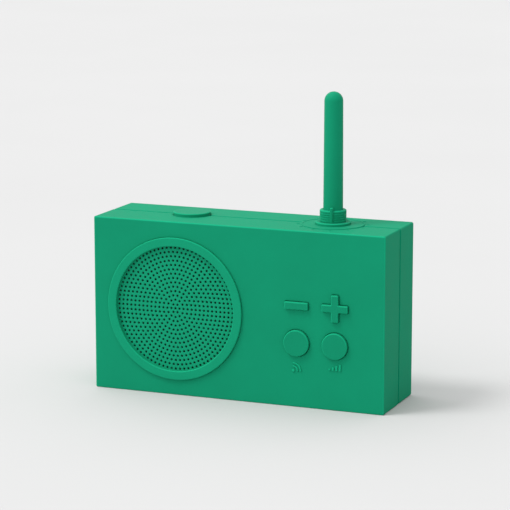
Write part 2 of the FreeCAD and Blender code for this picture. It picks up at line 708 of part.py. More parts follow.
# ---------------------------------------------------------------- aerial and tuning knob
def make_aerial_base():
    body = turned("antenna_base", [("shaft_radius + 0.05", "0"), ("5", "0"), ("5", "6.5"),
                                   ("flange_radius", "6.5"),
                                   ("flange_radius", "6.5 + flange_thickness"),
                                   ("shaft_radius + 0.05", "6.5 + flange_thickness")],
                  ("aerial_side", "seam_place", "case_height - 6.5"))
    dress(body, "Fillet", "0.5", at_circle("6.5 + flange_thickness", "flange_radius"))
    keep(body, "antenna_base")
    hexagon = doc.addObject("Part::Prism", "nut_blank")
    hexagon.Polygon = 6
    hexagon.Circumradius = 7.5
    hexagon.Height = 2.6
    hexagon.setExpression("Placement.Base.x", formula("aerial_side"))
    hexagon.setExpression("Placement.Base.y", formula("seam_place"))
    hexagon.setExpression("Placement.Base.z", formula(f"{HOUSING_TOP} - 2.6"))
    bore = rod("nut_bore", "z", AERIAL_CENTRE, (f"{HOUSING_TOP} - 4", f"{HOUSING_TOP} + 1"), "5.02")
    keep(cut("antenna_nut", hexagon, [bore]), "antenna_nut")


def make_dial_plate():
    ring = washer("dial_disc", "z", AERIAL_CENTRE, ("case_height", "case_height + dial_thickness"),
                  "dial_radius", "flange_radius + 0.1")
    groove = washer("dial_groove", "z", AERIAL_CENTRE,
                    ("case_height + dial_thickness / 2", "case_height + 1"),
                    "dial_radius - 0.8", "flange_radius")
    keep(cut("dial_plate", ring, [groove]), "dial_plate")


def make_dial_ticks():
    """Thin raised ticks outside the dial plate, every 30 degrees round the pointer's sweep."""
    ticks = []
    middle = Vector(number("aerial_side"), number("seam_place"), number("case_height"))
    corner = Vector(number("-tick_width / 2"), number("-dial_radius - tick_gap - tick_length"), 0)
    for index, angle in enumerate(range(-135, 136, 30)):
        tick = doc.addObject("Part::Box", f"dial_tick_{index}")
        for size, words in (("Length", "tick_width"), ("Width", "tick_length"), ("Height", "tick_raise")):
            tick.setExpression(size, formula(words))
        turn = Rotation(Vector(0, 0, 1), angle)
        tick.Placement = Placement(middle + turn.multVec(corner), turn)
        ticks.append(tick)
    keep(group("dial_ticks", ticks), "dial_ticks")


COLLAR_FOOT = "(case_height + flange_thickness + 0.1)"
COLLAR_HEIGHT = "(collar_top - flange_thickness - 0.1)"


def make_tuning_knob():
    collar = turned("collar_turned", [("shaft_radius", "0"), ("collar_radius", "0"),
                                      ("collar_radius", COLLAR_HEIGHT),
                                      ("3.95", COLLAR_HEIGHT), ("3.95", "2.5"), ("shaft_radius", "2.5")],
                    ("aerial_side", "seam_place", COLLAR_FOOT))
    dress(collar, "Fillet", "0.6", at_circle(COLLAR_HEIGHT, "collar_radius"))
    rib = new_body("pointer_rib")
    side = new_sketch(rib, "pointer_side", "YZ_Plane", "-pointer_width / 2")
    draw_rectangle(side, ("-collar_radius - pointer_reach", "-5"), ("0", f"{COLLAR_HEIGHT} + pointer_rise"))
    pad(rib, side, "pointer_width")
    dress(rib, "Fillet", "0.5",
          lambda edge: all(abs(vertex.Z - number(f"{COLLAR_HEIGHT} + pointer_rise")) < 1e-4
                                                 for vertex in edge.Vertexes))
    rib.Placement = Placement(Vector(), Rotation(Vector(0, 0, 1), number("pointer_angle")))
    for letter, words in zip("xyz", ("aerial_side", "seam_place", COLLAR_FOOT)):
        rib.setExpression(f"Placement.Base.{letter}", formula(words))
    keep(join("tuning_collar", [collar, rib]), "tuning_collar")
    length = "(mast_top - flange_thickness - 2.6)"
    sheath = turned("antenna_sheath", [("1.3", "0"), ("3.95", "0"), ("3.95", f"{COLLAR_HEIGHT} - 2.5"),
                                       ("mast_foot_radius", f"{COLLAR_HEIGHT} - 2.5"),
                                       ("mast_tip_radius", length),
                                       ("0", length), ("0", f"{length} - 6"), ("1.3", f"{length} - 6")],
                    ("aerial_side", "seam_place", f"{COLLAR_FOOT} + 2.5"))
    dress(sheath, "Fillet", "mast_tip_radius - 0.15", at_circle(length, "mast_tip_radius"))
    keep(sheath, "antenna_sheath")
    keep(rod("antenna_whip", "z", AERIAL_CENTRE, (f"{COLLAR_FOOT} + 2.5", "case_height + mast_top - 6.4"),
             "1.25"),
         "antenna_whip")
    keep(rod("tuning_shaft", "z", AERIAL_CENTRE, ("68.4", f"{COLLAR_FOOT} + 2.5"), "shaft_radius"),
         "tuning_shaft")


def make_tuner():
    blank = block("tuner_board_blank", ("29", "51"), ("-8", "17"), tray_span("tuner_board_top"))
    holes = [rod(f"tuner_board_hole_{index}", "z", centre, ("63", "65"), "tray_screw_shank + 0.05")
             for index, centre in enumerate(TUNER_TRAY_SCREWS)]
    keep(cut("tuner_board", blank, holes), "tuner_board")
    case = block("encoder_case", spread("aerial_side", 6.5), spread("seam_place", 6.5),
                 ("tuner_board_top", "71.4"))
    bore = rod("encoder_bore", "z", AERIAL_CENTRE, ("68.2", "72"), "shaft_radius + 0.05")
    keep(cut("encoder_body", case, [bore]), "encoder_body")
    clip = washer("contact_clip", "z", AERIAL_CENTRE, ("73.2", "74.6"), "4.2", "shaft_radius + 0.05")
    arm = block("contact_arm", ("aerial_side + 3.9", "48.6"), ("0", "2"), ("73.2", "74.6"))
    leg = block("contact_leg", ("47.6", "48.6"), ("0", "2"), ("tuner_board_top", "74.6"))
    keep(join("antenna_contact", [clip, arm, leg]), "antenna_contact")


# ---------------------------------------------------------------- boards, battery and port
def make_main_board():
    blank = block("main_board_blank", ("6", "68"), (BOARD_FACE, BOARD_BACK), ("14", "72"))
    holes = [rod(f"main_board_hole_{index}", "y", centre, ("-13", "-9"), "1.1")
             for index, centre in enumerate(BOARD_SCREWS)]
    keep(cut("main_board", blank, holes), "main_board")
    keep(block("wireless_module", ("10", "24"), (BOARD_BACK, "-8.4"), ("38", "54")), "wireless_module")
    chips = [block("amplifier_chip", ("30", "37"), (BOARD_BACK, "-9.3"), ("28", "35")),
             block("tuner_chip", ("46", "51"), (BOARD_BACK, "-9.3"), ("42", "47"))]
    keep(group("board_chips", chips), "board_chips")
    sockets = [block("speaker_socket", ("10", "16"), (BOARD_BACK, SOCKET_BACK), ("22", "26")),
               block("power_socket", ("10", "16"), (BOARD_BACK, SOCKET_BACK), ("58", "62")),
               block("charge_socket_row", ("28", "34"), (BOARD_BACK, SOCKET_BACK), ("50.8", "54.8")),
               block("tuner_header", ("34", "46"), (BOARD_BACK, "-8"), ("61.9", "64.4"))]
    keep(group("lead_sockets", sockets), "lead_sockets")
    screws = [screw(f"board_screw_{index}", "y", centre, (BOARD_BACK, "-9.2"), ("-16.5", BOARD_BACK),
                    "board_screw_head", "board_screw_shank") for index, centre in enumerate(BOARD_SCREWS)]
    keep(group("board_screws", screws), "board_screws")


def make_charge_board():
    blank = block("charge_board_blank", ("28", "52.4"), ("2", "17.2"), tray_span("charge_board_top"))
    holes = [rod(f"charge_board_hole_{index}", "z", centre, ("52", "54"), "tray_screw_shank + 0.05")
             for index, centre in enumerate(CHARGE_TRAY_SCREWS)]
    keep(cut("charge_board", blank, holes), "charge_board")
    shell = block("socket_shell", spread("aerial_side", "4.5"), ("12", "19.4"), spread("port_height", "1.6"))
    cavity = block("socket_cavity", spread("aerial_side", "4.15"), ("13.4", "20"),
                   spread("port_height", "1.25"))
    tongue = block("socket_tongue", spread("aerial_side", "3.2"), ("13", "18.6"),
                   spread("port_height", "0.35"))
    feet = block("socket_feet", spread("aerial_side", "3.5"), ("12.4", "16.8"),
                 ("charge_board_top", "port_height - 1.5"))
    keep(join("charge_socket", [cut("socket_open_shell", shell, [cavity]), tongue, feet]), "charge_socket")


def make_tray_screws():
    screws = []
    for tray, places in (("power", POWER_TRAY_SCREWS), ("tuner", TUNER_TRAY_SCREWS),
                         ("charge", CHARGE_TRAY_SCREWS)):
        top = f"{tray}_board_top"
        for index, centre in enumerate(places):
            screws.append(screw(f"{tray}_tray_screw_{index}", "z", centre, (top, f"{top} + 1"),
                                tray_span(top),
                                "tray_screw_head", "tray_screw_shank"))
    keep(group("tray_screws", screws), "tray_screws")


def make_port_cover():
    width = spread("aerial_side", "port_half_width - port_gap")
    hinge = (HINGE_DEPTH, HINGE_HEIGHT)
    plate = block("flap_plate", width, (f"{HINGE_DEPTH} - 0.7", BACK),
                  (HINGE_HEIGHT, "port_height + port_half_height - port_gap"))
    knuckle = rod("flap_knuckle", "x", hinge, width, "hinge_rise - port_gap")
    pin_hole = rod("flap_pin_hole", "x", hinge, spread("aerial_side", "port_half_width"), "0.38")
    keep(cut("port_cover", join("flap_solid", [plate, knuckle]), [pin_hole]), "port_cover")
    keep(rod("port_cover_pin", "x", hinge, spread("aerial_side", "port_half_width + 0.8"), "0.34"),
         "port_cover_pin")


def make_battery():
    keep(block("battery_cell", ("8", "62"), ("8", "17.5"), ("10.8", "44.8")), "battery_cell")


# ---------------------------------------------------------------- internal leads
def make_lead(name, route):
    """An insulated wire: straight runs joined by tangent arcs as large as the runs allow."""
    points = [Vector(*place) for place in route]
    edges = []
    start = points[0]
    for before, corner, after in zip(points, points[1:], points[2:]):
        incoming = (corner - before).normalize()
        outgoing = (after - corner).normalize()
        half_turn = incoming.getAngle(outgoing) / 2
        trim = 0.45 * min((corner - before).Length, (after - corner).Length)
        radius = trim / math.tan(half_turn)
        first = corner - incoming * trim
        last = corner + outgoing * trim
        to_centre = (outgoing - incoming).normalize()
        middle = corner + to_centre * (radius / math.cos(half_turn) - radius)
        edges += [Part.LineSegment(start, first).toShape(), Part.Arc(first, middle, last).toShape()]
        start = last
    edges.append(Part.LineSegment(start, points[-1]).toShape())
    path = Part.Wire(edges)
    section = Part.Wire(Part.makeCircle(number("lead_radius"), points[0], points[1] - points[0]))
    wire = doc.addObject("Part::Feature", name)
    wire.Shape = path.makePipeShell([section], True, False)
    expected = math.pi * number("lead_radius") ** 2 * path.Length
    assert abs(wire.Shape.Volume - expected) < 0.02 * expected, f"{name} isn't a plain tube"
    return wire


def twin_leads(name, route, step):
    """Two wires side by side: the second follows the same route one step over."""
    beside = [tuple(place + shift for place, shift in zip(point, step)) for point in route]
    keep(group(name, [make_lead(f"{name}_{index}", path) for index, path in enumerate((route, beside))]),
         name)


def make_leads():
    pitch = number("lead_pitch")
    socket = number(SOCKET_BACK)
    speaker = [(-4.0, -14.7, 22.4), (-4.0, -4.5, 22.4), (12.0, -0.5, 24.0), (12.0, socket, 24.0)]
    power = [(-22.5, 1.0, 72.9), (-12.0, 1.0, 72.9), (2.0, 0.5, 67.0), (12.0, -0.5, 60.0),
             (12.0, socket, 60.0)]
    battery = [(20.0, 12.0, 44.8), (20.0, 12.0, 49.0), (24.0, 12.0, 53.0), (28.0, 12.0, 53.0)]
    charge = [(30.0, 2.0, 53.0), (30.0, socket, 53.0)]
    twin_leads("speaker_leads", speaker, (pitch, 0, 0))
    twin_leads("power_leads", power, (0, pitch, 0))
    twin_leads("battery_leads", battery, (0, -pitch, 0))
    twin_leads("charge_leads", charge, (pitch, 0, 0))


make_front_cover()
make_rear_cover()
make_front_housing()
make_rear_housing()
make_case_gasket()
make_case_screws()
make_grille_ring()
make_speaker_grille()
make_grille_cloth()
make_driver()
make_key("minus", "minus_key")
make_key("plus", "plus_key")
make_key("pairing", "pairing_key")
make_key("band", "band_key")
make_key_switches()
make_power_button()
make_aerial_base()
make_dial_plate()
make_dial_ticks()
make_tuning_knob()
make_tuner()
make_main_board()
make_charge_board()
make_tray_screws()
make_port_cover()
make_battery()
make_leads()
doc.recompute()

for item in doc.Objects:
    assert not {"Invalid", "Error"} & set(item.State), f"{item.Name} failed: {item.State}"
for piece in finished:
    assert not piece.Shape.isNull() and piece.Shape.isValid(), f"{piece.Label} has no valid shape"

os.makedirs("parts", exist_ok=True)
for piece in finished:
    piece.Shape.exportStep(f"parts/{piece.Label}.step")
print(len(finished), "sub-parts written")
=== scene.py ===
import json
import math

import bmesh
import bpy
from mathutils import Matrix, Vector
from mathutils.geometry import delaunay_2d_cdt


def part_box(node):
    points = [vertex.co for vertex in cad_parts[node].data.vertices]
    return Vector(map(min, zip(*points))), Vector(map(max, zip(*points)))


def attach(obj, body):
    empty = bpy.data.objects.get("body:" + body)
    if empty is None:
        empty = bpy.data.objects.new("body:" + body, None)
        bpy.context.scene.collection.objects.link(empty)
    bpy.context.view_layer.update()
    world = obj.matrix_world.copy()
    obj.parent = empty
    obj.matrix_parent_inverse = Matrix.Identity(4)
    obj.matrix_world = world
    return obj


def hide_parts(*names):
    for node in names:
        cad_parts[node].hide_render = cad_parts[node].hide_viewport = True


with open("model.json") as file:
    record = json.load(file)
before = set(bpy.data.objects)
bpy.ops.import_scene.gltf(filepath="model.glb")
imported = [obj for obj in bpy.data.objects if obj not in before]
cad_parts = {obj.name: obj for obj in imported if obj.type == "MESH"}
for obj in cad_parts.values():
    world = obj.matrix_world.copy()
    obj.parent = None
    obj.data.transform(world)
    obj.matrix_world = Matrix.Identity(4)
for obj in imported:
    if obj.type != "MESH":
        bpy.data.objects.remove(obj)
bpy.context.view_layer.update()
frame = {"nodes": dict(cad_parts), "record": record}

# Lengths below are millimetres in the frame's axes: +X right, +Y back, +Z up. MM turns them to metres.
MM = 0.001


def span(node):
    """Lowest and highest corner of a CAD node, in millimetres."""
    low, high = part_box(node)
    return low / MM, high / MM


def front_centre(low, high):
    """The middle of a box seen from the front, in X and Z."""
    return (low.x + high.x) / 2, (low.z + high.z) / 2


def top_centre(low, high):
    """The middle of a box seen from above, in X and Y."""
    return (low.x + high.x) / 2, (low.y + high.y) / 2


def radius_of(low, high):
    return (high.x - low.x) / 2


CASE_LOW, CASE_HIGH = span("front_cover")
REAR_LOW, REAR_HIGH = span("rear_cover")
RING_LOW, RING_HIGH = span("grille_ring")
RING_CENTRE = Vector(front_centre(RING_LOW, RING_HIGH))
GRILLE_LOW, GRILLE_HIGH = span("speaker_grille")
POWER_LOW, POWER_HIGH = span("power_button")
POWER_CENTRE = top_centre(POWER_LOW, POWER_HIGH)
POWER_RADIUS = radius_of(POWER_LOW, POWER_HIGH)
BASE_LOW, BASE_HIGH = span("antenna_base")
AERIAL = top_centre(BASE_LOW, BASE_HIGH)

# The front cover's box takes in the moulded marks, which stand this far off its face.
MARK_RELIEF = 0.5
FACE = CASE_LOW.y + MARK_RELIEF
BACK = REAR_HIGH.y
TOP = REAR_HIGH.z
HALF_WIDTH = CASE_HIGH.x
WALL = 2.0
KEYS = ("minus", "plus", "pairing", "band")


# ---------------------------------------------------------------- outlines and profiles
# An outline is a function: outline(grow) gives its points, moved outwards by grow.
SIDES = 96
FINE_SIDES = 128
LEAST_ROUND = 0.05


def rounded(corners, steps=6, closed=True):
    """Points of a polyline whose corners (across, along, radius) are replaced by tangent arcs."""
    points = []
    last = len(corners) - 1
    for index, (across, along, radius) in enumerate(corners):
        corner = Vector((across, along))
        if radius <= 0 or (not closed and index in (0, last)):
            points.append(corner)
            continue
        to_before = (Vector(corners[index - 1][:2]) - corner).normalized()
        to_after = (Vector(corners[(index + 1) % len(corners)][:2]) - corner).normalized()
        half = to_before.angle(to_after) / 2
        centre = corner + (to_before + to_after).normalized() * (radius / math.sin(half))
        start = corner + to_before * (radius / math.tan(half)) - centre
        end = corner + to_after * (radius / math.tan(half)) - centre
        sweep = start.angle_signed(end)
        for step in range(steps + 1):
            turn = -sweep * step / steps
            points.append(centre + Vector((start.x * math.cos(turn) - start.y * math.sin(turn),
                                           start.x * math.sin(turn) + start.y * math.cos(turn))))
    return points


def circle_outline(centre, radius, count=SIDES):
    def outline(grow):
        reach = radius + grow
        return [Vector((centre[0] + reach * math.cos(math.tau * step / count),
                        centre[1] + reach * math.sin(math.tau * step / count))) for step in range(count)]
    return outline


def rectangle_outline(centre, width, height, radius, steps=6):
    def outline(grow):
        across = width / 2 + grow
        up = height / 2 + grow
        corner = max(radius + grow, LEAST_ROUND)
        signs = ((-1, -1), (1, -1), (1, 1), (-1, 1))
        return rounded([(centre[0] + x * across, centre[1] + y * up, corner) for x, y in signs], steps)
    return outline


def plus_outline(centre, length, width, radius, steps=4):
    def outline(grow):
        reach = length / 2 + grow
        half = width / 2 + grow
        outer = max(radius + grow, LEAST_ROUND)
        inner = max(radius - grow, LEAST_ROUND)
        arms = ((reach, -half, outer), (reach, half, outer), (half, half, inner), (half, reach, outer),
                (-half, reach, outer), (-half, half, inner), (-reach, half, outer), (-reach, -half, outer),
                (-half, -half, inner), (-half, -reach, outer), (half, -reach, outer), (half, -half, inner))
        return rounded([(centre[0] + x, centre[1] + y, corner) for x, y, corner in arms], steps)
    return outline


def polar(radius, angle):
    return Vector((math.cos(math.radians(angle)), math.sin(math.radians(angle)))) * radius


ARC_STEPS = 14
CAP_STEPS = 6


def arc_outline(centre, radius, width, start, end):
    """A bent bar with round ends along an arc, from one angle to another."""
    def outline(grow):
        half = width / 2 + grow
        arc = [start + (end - start) * step / ARC_STEPS for step in range(ARC_STEPS + 1)]
        cap = [180 * step / CAP_STEPS for step in range(1, CAP_STEPS)]
        points = [polar(radius + half, angle) for angle in arc]
        points += [polar(radius, end) + polar(half, end + angle) for angle in cap]
        points += [polar(radius - half, angle) for angle in reversed(arc)]
        points += [polar(radius, start) + polar(half, start + 180 + angle) for angle in cap]
        return [Vector(centre) + point for point in points]
    return outline


def about_aerial(outline, turn):
    """An outline drawn round the origin, turned and moved to the aerial's axis."""
    def swung(grow):
        return [Vector((point.x * math.cos(turn) - point.y * math.sin(turn) + AERIAL[0],
                        point.x * math.sin(turn) + point.y * math.cos(turn) + AERIAL[1]))
                for point in outline(grow)]
    return swung


# ---------------------------------------------------------------- mesh building
FRONTAL = "frontal"       # an outline in X and Z, with depth along Y
UPRIGHT = "upright"       # an outline in X and Y, with height along Z
SHARP_ANGLE = 35.0        # degrees between facets that shade as one surface
MERGE_DISTANCE = 1e-7     # metres
FILL_TOLERANCE = 1e-6     # millimetres


class Shell:
    """A closed mesh made of loops of points joined by walls and planar fills."""

    def __init__(self, facing=FRONTAL):
        self.mesh = bmesh.new()
        self.facing = facing

    def place(self, point, depth):
        if self.facing == FRONTAL:
            return Vector((point.x, depth, point.y)) * MM
        return Vector((point.x, point.y, depth)) * MM

    def flat(self, vertex):
        """A vertex in the plane of the outlines, in millimetres."""
        return Vector((vertex.co.x, vertex.co.z if self.facing == FRONTAL else vertex.co.y)) / MM

    def loop(self, points, depth):
        return [self.mesh.verts.new(self.place(point, depth)) for point in points]

    def wall(self, loops):
        for lower, upper in zip(loops, loops[1:]):
            count = len(lower)
            for index in range(count):
                after = (index + 1) % count
                self.mesh.faces.new((lower[index], lower[after], upper[after], upper[index]))

    def stack(self, outline, profile, closed=False):
        """Walls along a profile of (grow, depth) points, each a grown copy of the outline."""
        loops = [self.loop(outline(grow), depth) for grow, depth in profile]
        self.wall(loops + loops[:1] if closed else loops)
        return loops

    def fill(self, outer, holes=()):
        """A flat face inside the outer loop, with the hole loops left open."""
        rings = [outer, *holes]
        verts = [vertex for ring in rings for vertex in ring]
        owner = [index for index, ring in enumerate(rings) for _ in ring]
        edges = []
        first = 0
        for ring in rings:
            edges += [(first + step, first + (step + 1) % len(ring)) for step in range(len(ring))]
            first += len(ring)
        outlines = [[self.flat(vertex) for vertex in ring] for ring in rings]
        places = [self.flat(vertex) for vertex in verts]
        points, _, faces, sources, _, _ = delaunay_2d_cdt(places, edges, [], 0, FILL_TOLERANCE)
        for face in faces:
            ids = [sources[corner][0] for corner in face]
            rings_here = {owner[index] for index in ids}
            middle = sum((points[corner] for corner in face), Vector((0, 0))) / len(face)
            if len(rings_here) == 1:
                ring = rings_here.pop()
                if (ring > 0) == inside(middle, outlines[ring]):
                    continue
            self.mesh.faces.new([verts[index] for index in ids])

    def solid(self, outline, profile):
        """A stack closed by a flat fill at each end."""
        loops = self.stack(outline, profile)
        self.fill(loops[0])
        self.fill(loops[-1])

    def finish(self, name, material, sharp=SHARP_ANGLE):
        bmesh.ops.remove_doubles(self.mesh, verts=self.mesh.verts, dist=MERGE_DISTANCE)
        bmesh.ops.recalc_face_normals(self.mesh, faces=self.mesh.faces)
        data = bpy.data.meshes.new(name)
        self.mesh.to_mesh(data)
        self.mesh.free()
        return as_piece(name, data, material, sharp)


def inside(point, outline):
    """Whether a point is inside a closed outline."""
    result = False
    for start, end in zip(outline, outline[1:] + outline[:1]):
        if (start.y > point.y) != (end.y > point.y):
            if point.x < start.x + (end.x - start.x) * (point.y - start.y) / (end.y - start.y):
                result = not result
    return result


def as_piece(name, data, material, sharp):
    piece = bpy.data.objects.new(name, data)
    bpy.context.scene.collection.objects.link(piece)
    data.materials.append(material)
    data.polygons.foreach_set("use_smooth", [True] * len(data.polygons))
    data.set_sharp_from_angle(angle=math.radians(sharp))
    weighted = piece.modifiers.new("weighted_normals", "WEIGHTED_NORMAL")
    weighted.keep_sharp = True
    return piece


def mount(piece, body, nodes):
    """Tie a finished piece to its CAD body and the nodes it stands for."""
    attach(piece, body)
    if nodes:
        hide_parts(*nodes)


# A facet is part of a rounded edge, and gets the painted highlight, if the outward part of its normal is
# between these.
HIGHLIGHT_TILT = (0.22, 0.98)


def paint_edge_highlights(piece, facing=FRONTAL):
    """Give the rounded edges round a raised face a paler skin: a painted highlight."""
    axis = 1 if facing == FRONTAL else 2
    outward = -1 if facing == FRONTAL else 1
    piece.data.materials.append(EDGE_HIGHLIGHT_SILICONE)
    for polygon in piece.data.polygons:
        if HIGHLIGHT_TILT[0] < outward * polygon.normal[axis] < HIGHLIGHT_TILT[1]:
            polygon.material_index = 1


def carve(piece, cutter):
    """Subtract a closed cutter from a piece for good."""
    cutting = piece.modifiers.new("carve", "BOOLEAN")
    cutting.operation = "DIFFERENCE"
    cutting.solver = "EXACT"
    cutting.object = cutter
    piece.modifiers.move(piece.modifiers.find("carve"), 0)
    shown = bpy.context.evaluated_depsgraph_get()
    weighted = piece.modifiers["weighted_normals"]
    weighted.show_viewport = False
    shown.update()
    carved = bpy.data.meshes.new_from_object(piece.evaluated_get(shown))
    weighted.show_viewport = True
    piece.modifiers.remove(cutting)
    piece.data = carved
    carved.set_sharp_from_angle(angle=math.radians(SHARP_ANGLE))
    bpy.data.objects.remove(cutter)


def turned(name, profile, centre, material, steps=6, count=SIDES, closed=False):
    """A piece turned about a vertical axis from (radius, height, corner radius) points."""
    shell = Shell(UPRIGHT)
    shell.stack(circle_outline(centre, 0, count), rounded(profile, steps, closed), closed)
    return shell.finish(name, material)


# ---------------------------------------------------------------- materials
def new_material(name):
    material = bpy.data.materials.new(name)
    material.use_nodes = True
    tree = material.node_tree
    return material, tree, tree.nodes["Principled BSDF"]


GRAIN_STRENGTH = 0.5
GLOSS_SPREAD = 0.05
RAMP_ENDS = (0.3, 0.7)


def noise(tree, scale, detail=3.0, roughness=0.55):
    coordinates = tree.nodes.get("Texture Coordinate") or tree.nodes.new("ShaderNodeTexCoord")
    node = tree.nodes.new("ShaderNodeTexNoise")
    node.inputs["Scale"].default_value = scale
    node.inputs["Detail"].default_value = detail
    node.inputs["Roughness"].default_value = roughness
    tree.links.new(coordinates.outputs["Object"], node.inputs["Vector"])
    return node


def ramp(tree, source, dark, light):
    node = tree.nodes.new("ShaderNodeValToRGB")
    for stop, position, colour in zip(node.color_ramp.elements, RAMP_ENDS, (dark, light)):
        stop.position = position
        stop.color = (*colour, 1)
    tree.links.new(source, node.inputs["Fac"])
    return node


def bump(tree, shader, source, distance):
    node = tree.nodes.new("ShaderNodeBump")
    node.inputs["Strength"].default_value = GRAIN_STRENGTH
    node.inputs["Distance"].default_value = distance
    tree.links.new(source, node.inputs["Height"])
    tree.links.new(node.outputs["Normal"], shader.inputs["Normal"])


def scaled(colour, factor):
    return tuple(min(1.0, channel * factor) for channel in colour)


def textured(name, colour, rough=0.6, grain=2500.0, relief=0.1, variation=0.06, metallic=0.0, mottle=60.0):
    """A moulded, cast or drawn finish: slow mottling in colour and roughness, fine grain in relief."""
    material, tree, shader = new_material(name)
    slow = noise(tree, mottle, 4.0)
    tone = ramp(tree, slow.outputs["Fac"], scaled(colour, 1 - variation), scaled(colour, 1 + variation))
    tree.links.new(tone.outputs["Color"], shader.inputs["Base Color"])
    gloss = ramp(tree, slow.outputs["Fac"], (rough - GLOSS_SPREAD,) * 3, (rough + GLOSS_SPREAD,) * 3)
    tree.links.new(gloss.outputs["Color"], shader.inputs["Roughness"])
    shader.inputs["Metallic"].default_value = metallic
    fine = noise(tree, grain, 2.0, 0.7)
    bump(tree, shader, fine.outputs["Fac"], relief * MM)
    return material


def silicone(name, colour, rough=0.68):
    """Soft-touch silicone: fine even grain, faint cloudiness, and a very faint bloom at grazing angles."""
    material = textured(name, colour, rough, grain=2200.0, relief=0.05, variation=0.035, mottle=45.0)
    shader = material.node_tree.nodes["Principled BSDF"]
    shader.inputs["Sheen Weight"].default_value = 0.01
    shader.inputs["Sheen Roughness"].default_value = 0.45
    shader.inputs["IOR"].default_value = 1.12
    shader.inputs["Specular IOR Level"].default_value = 0.5
    return material


GREEN = (0.005, 0.262, 0.135)
CASE_SILICONE = silicone("case_silicone_skin", GREEN)
KEY_SILICONE = silicone("key_silicone_skin", scaled(GREEN, 0.96), 0.55)
RING_SILICONE = silicone("ring_silicone_skin", scaled(GREEN, 1.12), 0.55)
ANTENNA_SILICONE = silicone("antenna_silicone_skin", GREEN, 0.5)
# A paler copy of the green: a painted highlight for rounded edges and raised marks.
EDGE_HIGHLIGHT_SILICONE = silicone("edge_painted_highlight_skin", scaled(GREEN, 1.32), 0.6)

FINISHES = {
    "inner_shell": textured("moulded_black", (0.012, 0.014, 0.014), 0.55, 1800.0, 0.05),
    "dark_rubber": textured("black_rubber", (0.006, 0.016, 0.012), 0.8, 2600.0, 0.05),
    "screw_steel": textured("zinc_steel", (0.55, 0.55, 0.57), 0.32, 900.0, 0.02, 0.05, 1.0),
    "acoustic_cloth": textured("acoustic_weave", (0.0008, 0.006, 0.003), 0.95, 5000.0, 0.08, 0.3),
    "basket_steel": textured("stamped_steel", (0.42, 0.43, 0.44), 0.38, 700.0, 0.02, 0.06, 1.0),
    "ferrite": textured("ground_ferrite", (0.02, 0.02, 0.022), 0.6, 1500.0, 0.04),
    "copper_wire": textured("enamelled_copper", (0.5, 0.17, 0.06), 0.3, 3000.0, 0.03, 0.1, 1.0),
    "cone_paper": textured("pressed_paper", (0.02, 0.02, 0.021), 0.9, 1300.0, 0.08, 0.2),
    "spider_cloth": textured("resin_cloth", (0.3, 0.17, 0.06), 0.85, 2500.0, 0.08, 0.15),
    "switch_stem": textured("moulded_stem", (0.01, 0.01, 0.01), 0.45, 2000.0, 0.03),
    "switch_case": textured("moulded_case", (0.03, 0.03, 0.03), 0.5, 2000.0, 0.03),
    "circuit_board": textured("solder_mask", (0.004, 0.07, 0.03), 0.35, 1200.0, 0.03, 0.12),
    "brass_parts": textured("turned_brass", (0.62, 0.42, 0.13), 0.3, 900.0, 0.02, 0.06, 1.0),
    "spring_steel": textured("drawn_steel", (0.5, 0.5, 0.51), 0.28, 900.0, 0.02, 0.05, 1.0),
    "socket_plastic": textured("nylon_sockets", (0.7, 0.66, 0.54), 0.5, 1800.0, 0.03),
    "chip_resin": textured("chip_resin_black", (0.01, 0.01, 0.011), 0.5, 2500.0, 0.03),
    "battery_foil": textured("pouch_foil", (0.6, 0.61, 0.63), 0.3, 500.0, 0.06, 0.08, 1.0),
    "lead_red": textured("red_insulation", (0.35, 0.01, 0.008), 0.4, 1800.0, 0.02),
    "lead_black": textured("black_insulation", (0.01, 0.01, 0.01), 0.4, 1800.0, 0.02),
    "case_silicone": CASE_SILICONE,
    "key_silicone": KEY_SILICONE,
    "ring_silicone": RING_SILICONE,
    "grille_silicone": RING_SILICONE,
    "base_silicone": CASE_SILICONE,
    "antenna_silicone": ANTENNA_SILICONE,
}
for subpart in frame["record"]["subparts"]:
    data = frame["nodes"][subpart["node"]].data
    data.materials.clear()
    data.materials.append(FINISHES[subpart["material_slot"]])


# ---------------------------------------------------------------- covers
CASE_CENTRE = Vector((0, TOP / 2))
FRONT_ROUND = 0.7
FRONT_STEPS = 6
REAR_ROUND = 0.9
REAR_STEPS = 8
SEAM_ROUND = 0.6
FACE_INSET = 0.4          # from an edge's rounding to the loop where the face's fill starts
KEY_GAP = 0.2
RING_GAP = 0.05
OPENING_ROUND = 0.25
OPENING_INSET = 0.6       # from an opening's wall to the loop where the face's fill ends
OPENING_STEPS = 4
KEY_LIP = 1.0             # a key's hidden lip is this much wider than its cap on every side
PLUS_ARM = 3.5
PLUS_ROUND = 0.35
MINUS_ROUND = 0.5
POWER_HOLE_DEPTH = 4.0
CUT_ABOVE = 0.75          # how far the button's cutter stands out of the top


def key_outline(key):
    """The outline of one front key's cap, read from its CAD node."""
    low, high = span(f"{key}_key")
    centre = front_centre(low, high)
    width = high.x - low.x - 2 * KEY_LIP
    height = high.z - low.z - 2 * KEY_LIP
    if key == "minus":
        return rectangle_outline(centre, width, height, MINUS_ROUND)
    if key == "plus":
        return plus_outline(centre, width, PLUS_ARM, PLUS_ROUND)
    return circle_outline(centre, width / 2)


def cover_side(seam, face, edge_round, steps):
    """The profile of a cover's outside, from the seam over the walls to the flat of its face."""
    corners = [(-WALL, seam, 0), (0, seam, SEAM_ROUND), (0, face, edge_round), (-WALL, face, 0)]
    return rounded(corners, steps, False)[:-1] + [(-edge_round - FACE_INSET, face)]


def power_hole_cutter():
    shell = Shell(UPRIGHT)
    shell.solid(circle_outline(POWER_CENTRE, POWER_RADIUS + KEY_GAP), [
        (0, TOP - POWER_HOLE_DEPTH), (0, TOP - OPENING_ROUND), (OPENING_ROUND, TOP),
        (OPENING_ROUND + CUT_ABOVE, TOP + CUT_ABOVE)])
    return shell.finish("power_hole_cutter", CASE_SILICONE)


